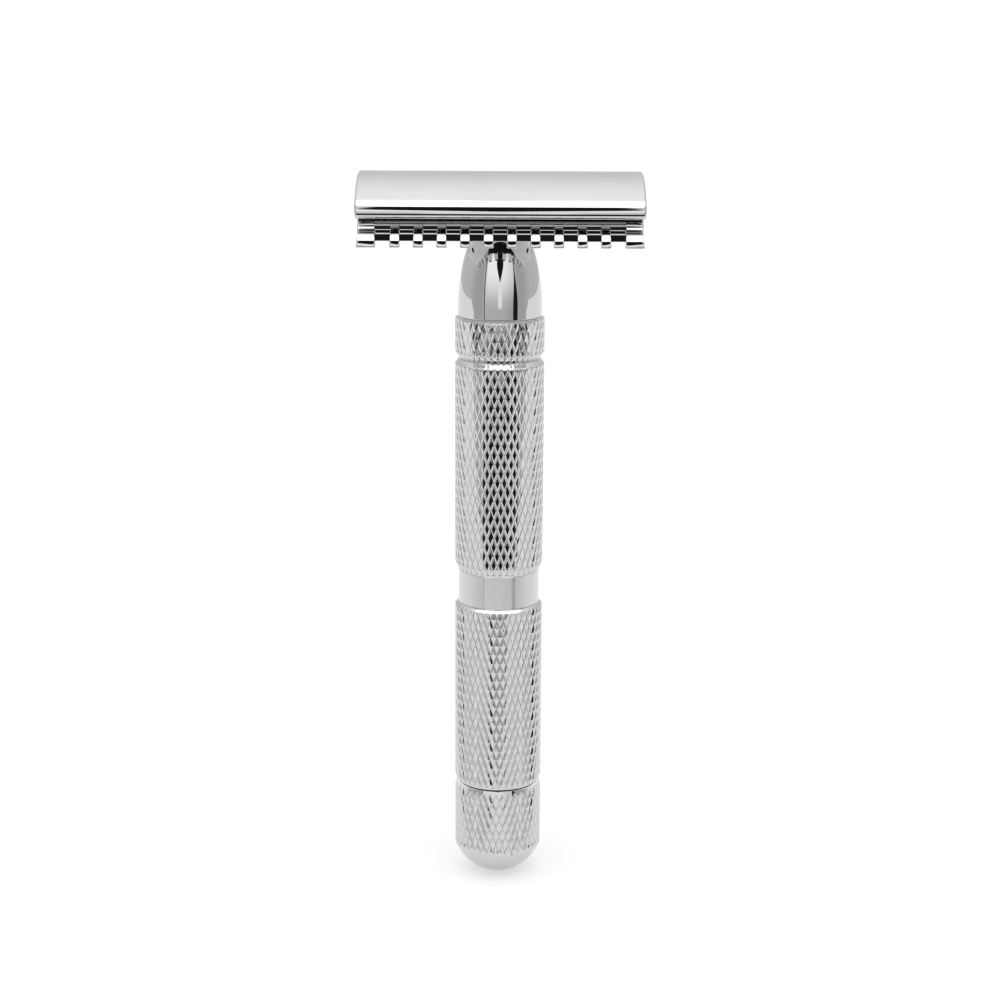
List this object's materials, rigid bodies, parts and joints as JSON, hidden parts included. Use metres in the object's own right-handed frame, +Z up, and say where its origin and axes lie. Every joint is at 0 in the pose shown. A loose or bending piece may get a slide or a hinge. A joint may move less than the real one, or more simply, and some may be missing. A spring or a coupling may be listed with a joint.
{
  "type": "safety razor",
  "caption": "Open-comb double-edge safety razor with a curved cap, a knurled handle with a satin band, and a twist knob that clamps the blade.",
  "frame": {"origin": "on the handle's axis, at the foot of the lower barrel's full diameter, where the grip mount starts", "axes": "+Z up the handle to the head; +X along the blade's edges; +Y across the head, from one edge to the other"},
  "size_m": [0.0436, 0.0234, 0.1147],
  "materials": {
    "polished_chrome": "mirror-polished chrome plate",
    "knurled_chrome": "chrome plate over diamond knurling",
    "satin_chrome": "satin chrome with fine turning lines",
    "blade_steel": "ground stainless strip with bevelled edges",
    "turned_steel": "turned bright steel",
    "spring_steel": "oiled spring steel",
    "brass": "turned brass",
    "washer_plastic": "natural low-friction plastic"
  },
  "bodies": {
    "handle": {"comb_plate": "polished_chrome", "neck": "polished_chrome", "knurled_collar": "knurled_chrome", "upper_barrel": "knurled_chrome", "centre_band": "satin_chrome", "lower_barrel": "knurled_chrome", "core_tube": "brass", "upper_bush": "brass", "lower_bush": "brass", "thrust_washer": "washer_plastic", "wave_spring": "spring_steel", "slip_washer": "turned_steel"},
    "knob": {"end_knob": "knurled_chrome", "spindle": "turned_steel", "draw_socket": "brass", "socket_pin": "spring_steel", "retaining_ring": "spring_steel", "lock_nut": "turned_steel"},
    "cap": {"top_cap": "polished_chrome", "cap_stud": "brass", "locating_pins": "polished_chrome"},
    "blade": {"blade": "blade_steel"}
  },
  "joints": [
    {"name": "knob_turn", "type": "hinge", "parent": "handle", "child": "knob", "pos_m": [0, 0, 0], "axis": [0, 0, -1], "range_deg": [0, 3240]},
    {"name": "cap_lift", "type": "slide", "parent": "handle", "child": "cap", "axis": [0, 0, 1], "range_m": [0, 0.0072]},
    {"name": "blade_lift", "type": "slide", "parent": "handle", "child": "blade", "axis": [0, 0, 1], "range_m": [0, 0.0036]}
  ],
  "couplings": [
    {"joint": "knob_turn", "follows": "cap_lift", "rad_per_m": 7854},
    {"joint": "blade_lift", "follows": "cap_lift", "ratio": 0.5}
  ]
}
